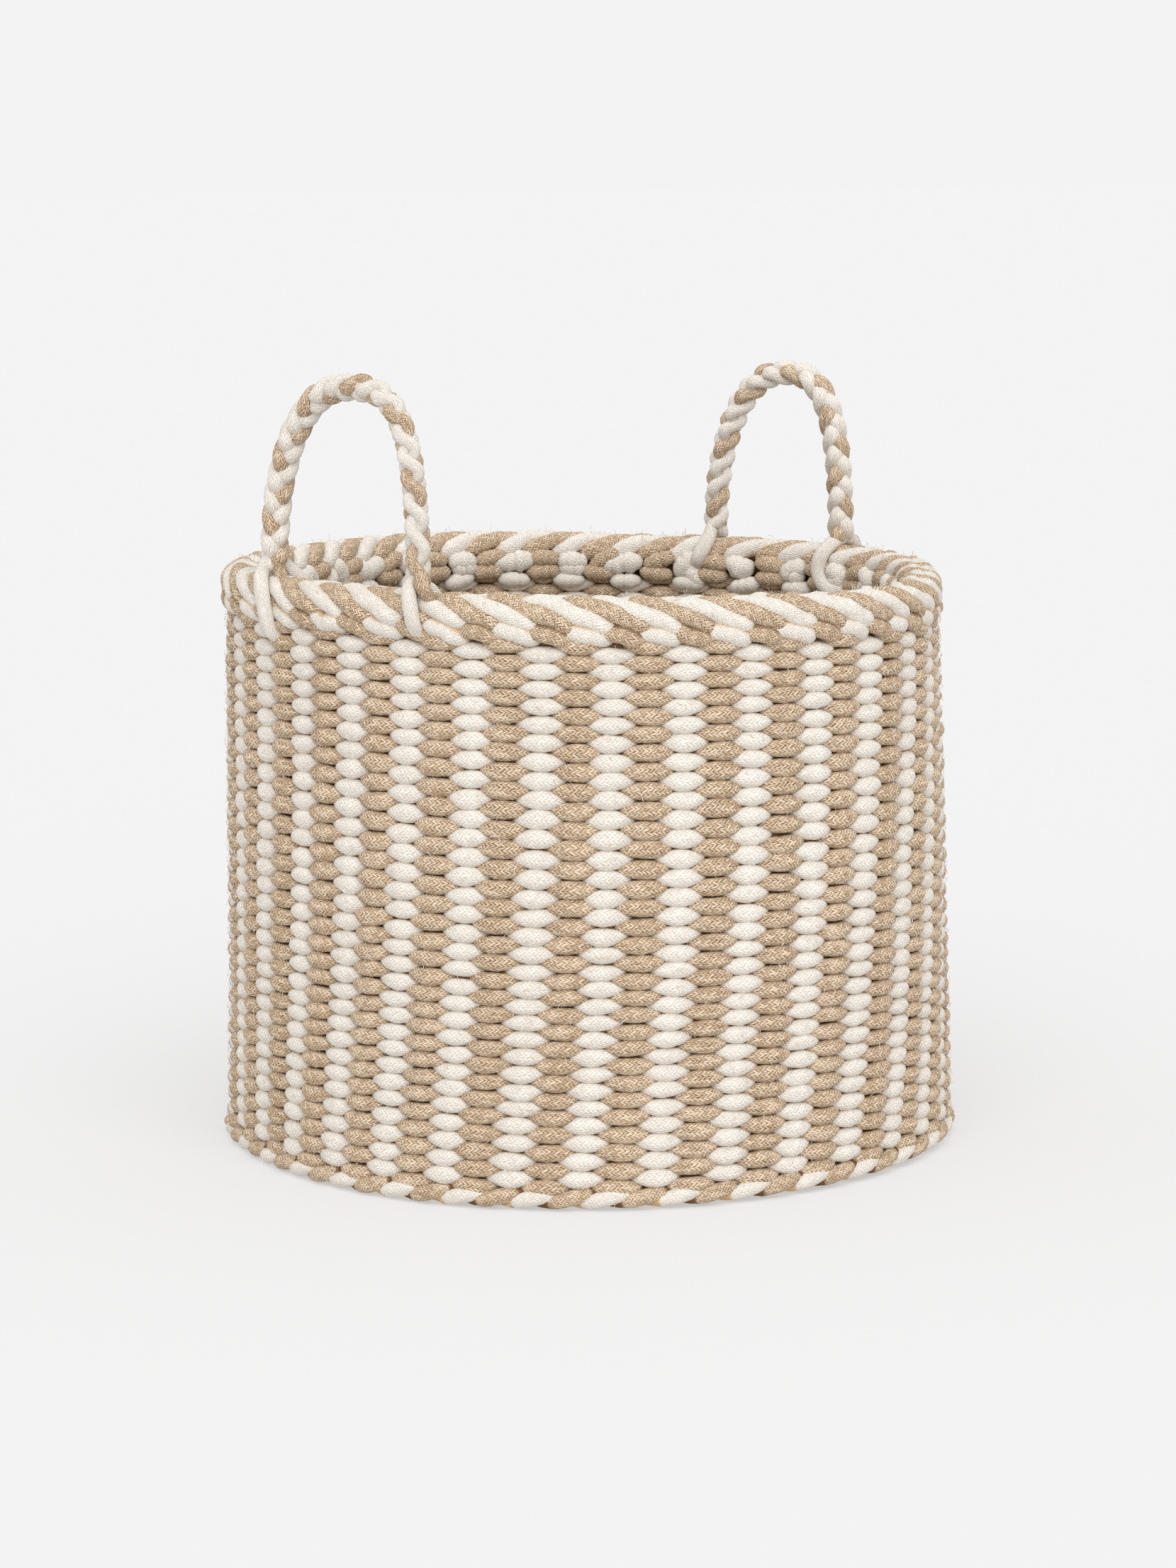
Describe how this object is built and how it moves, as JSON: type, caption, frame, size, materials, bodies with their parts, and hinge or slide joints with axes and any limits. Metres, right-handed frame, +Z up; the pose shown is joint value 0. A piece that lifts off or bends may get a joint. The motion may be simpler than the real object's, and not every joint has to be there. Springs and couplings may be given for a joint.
{
  "type": "laundry basket",
  "caption": "Round woven laundry basket of thick cream and tan cord, with a braided border and upright plaited loop handles that swing about their roots at the rim.",
  "frame": {"origin": "middle of the footprint, on the floor", "axes": "+Z up the basket's axis; the handles stand over -X and +X"},
  "size_m": [0.4664, 0.466, 0.4933],
  "materials": {
    "cream_cord": "matte braided cotton cord",
    "tan_cord": "matte braided jute cord"
  },
  "bodies": {
    "basket": {"floor_centre": "tan_cord", "floor_course_1": "cream_cord", "floor_course_2": "tan_cord", "floor_course_3": "cream_cord", "floor_course_4": "tan_cord", "foot_course": "cream_cord", "stakes": "tan_cord", "wall_band_01": "cream_cord", "wall_band_02": "tan_cord", "wall_band_03": "cream_cord", "wall_band_04": "tan_cord", "wall_band_05": "cream_cord", "wall_band_06": "tan_cord", "wall_band_07": "cream_cord", "wall_band_08": "tan_cord", "wall_band_09": "cream_cord", "wall_band_10": "tan_cord", "border_outer_row": "tan_cord", "border_inner_row": "cream_cord", "border_braid": "cream_cord", "handle_left_root_1": "cream_cord", "handle_left_root_2": "cream_cord", "handle_right_root_1": "cream_cord", "handle_right_root_2": "cream_cord"},
    "handle_left": {"handle_left_strand_cream_1": "cream_cord", "handle_left_strand_cream_2": "cream_cord", "handle_left_strand_tan": "tan_cord"},
    "handle_right": {"handle_right_strand_cream_1": "cream_cord", "handle_right_strand_cream_2": "cream_cord", "handle_right_strand_tan": "tan_cord"}
  },
  "joints": [
    {"name": "handle_left_hinge", "type": "hinge", "parent": "basket", "child": "handle_left", "pos_m": [-0.2051, 0.00977, 0.378], "axis": [0.0476, 0.9989, 0], "range_deg": [-75, 75]},
    {"name": "handle_right_hinge", "type": "hinge", "parent": "basket", "child": "handle_right", "pos_m": [0.20703, 0.01977, 0.378], "axis": [0.0951, -0.9955, 0], "range_deg": [-75, 75]}
  ]
}
